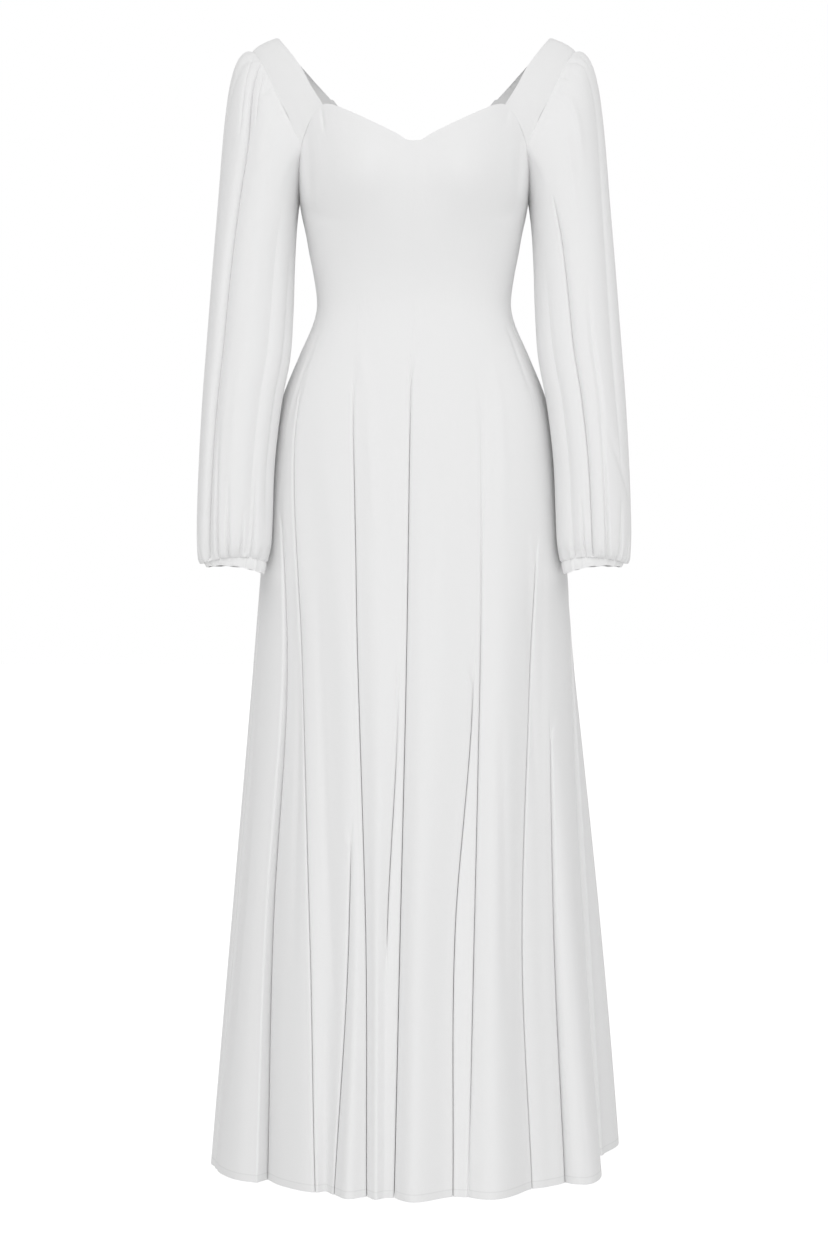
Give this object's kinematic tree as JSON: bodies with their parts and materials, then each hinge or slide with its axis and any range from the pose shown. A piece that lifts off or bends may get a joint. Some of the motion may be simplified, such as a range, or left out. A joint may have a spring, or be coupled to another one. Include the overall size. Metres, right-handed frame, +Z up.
{
  "type": "wedding dress",
  "caption": "Empty floor-length white crepe wedding dress, filled out as worn: sweetheart neckline, wide-set straps, full sleeves gathered at cap and cuff, panelled skirt.",
  "frame": {"origin": "midway between the tops of the two straps, where the wearer's shoulders hold the dress up", "axes": "+Z up along the dress from hem to shoulders, -Y its front, +X the wearer's left"},
  "size_m": [0.5455, 0.5088, 1.4362],
  "materials": {
    "front_centre_left": "matte",
    "front_side_left": "matte",
    "back_side_left": "matte",
    "back_centre_left": "matte",
    "back_centre_right": "matte",
    "back_side_right": "matte",
    "front_side_right": "matte",
    "front_centre_right": "matte",
    "strap_left": "matte",
    "strap_right": "matte",
    "sleeve_left": "matte",
    "sleeve_right": "matte",
    "cuff_left": "matte",
    "cuff_right": "matte",
    "zip_tape": "matte",
    "zip_slider": "satin",
    "zip_pull": "satin"
  },
  "bodies": {
    "gown": {"front_centre_left": "front_centre_left", "front_side_left": "front_side_left", "back_side_left": "back_side_left", "back_centre_left": "back_centre_left", "back_centre_right": "back_centre_right", "back_side_right": "back_side_right", "front_side_right": "front_side_right", "front_centre_right": "front_centre_right", "strap_left": "strap_left", "strap_right": "strap_right", "sleeve_left": "sleeve_left", "sleeve_right": "sleeve_right", "cuff_left": "cuff_left", "cuff_right": "cuff_right", "zip_tape": "zip_tape", "zip_slider": "zip_slider"},
    "zip_pull": {"zip_pull": "zip_pull"}
  },
  "joints": [
    {"name": "zip_pull_swing", "type": "hinge", "parent": "gown", "child": "zip_pull", "pos_m": [0, 0.1062, -0.176], "axis": [1, 0, 0], "range_deg": [0, 150]}
  ]
}
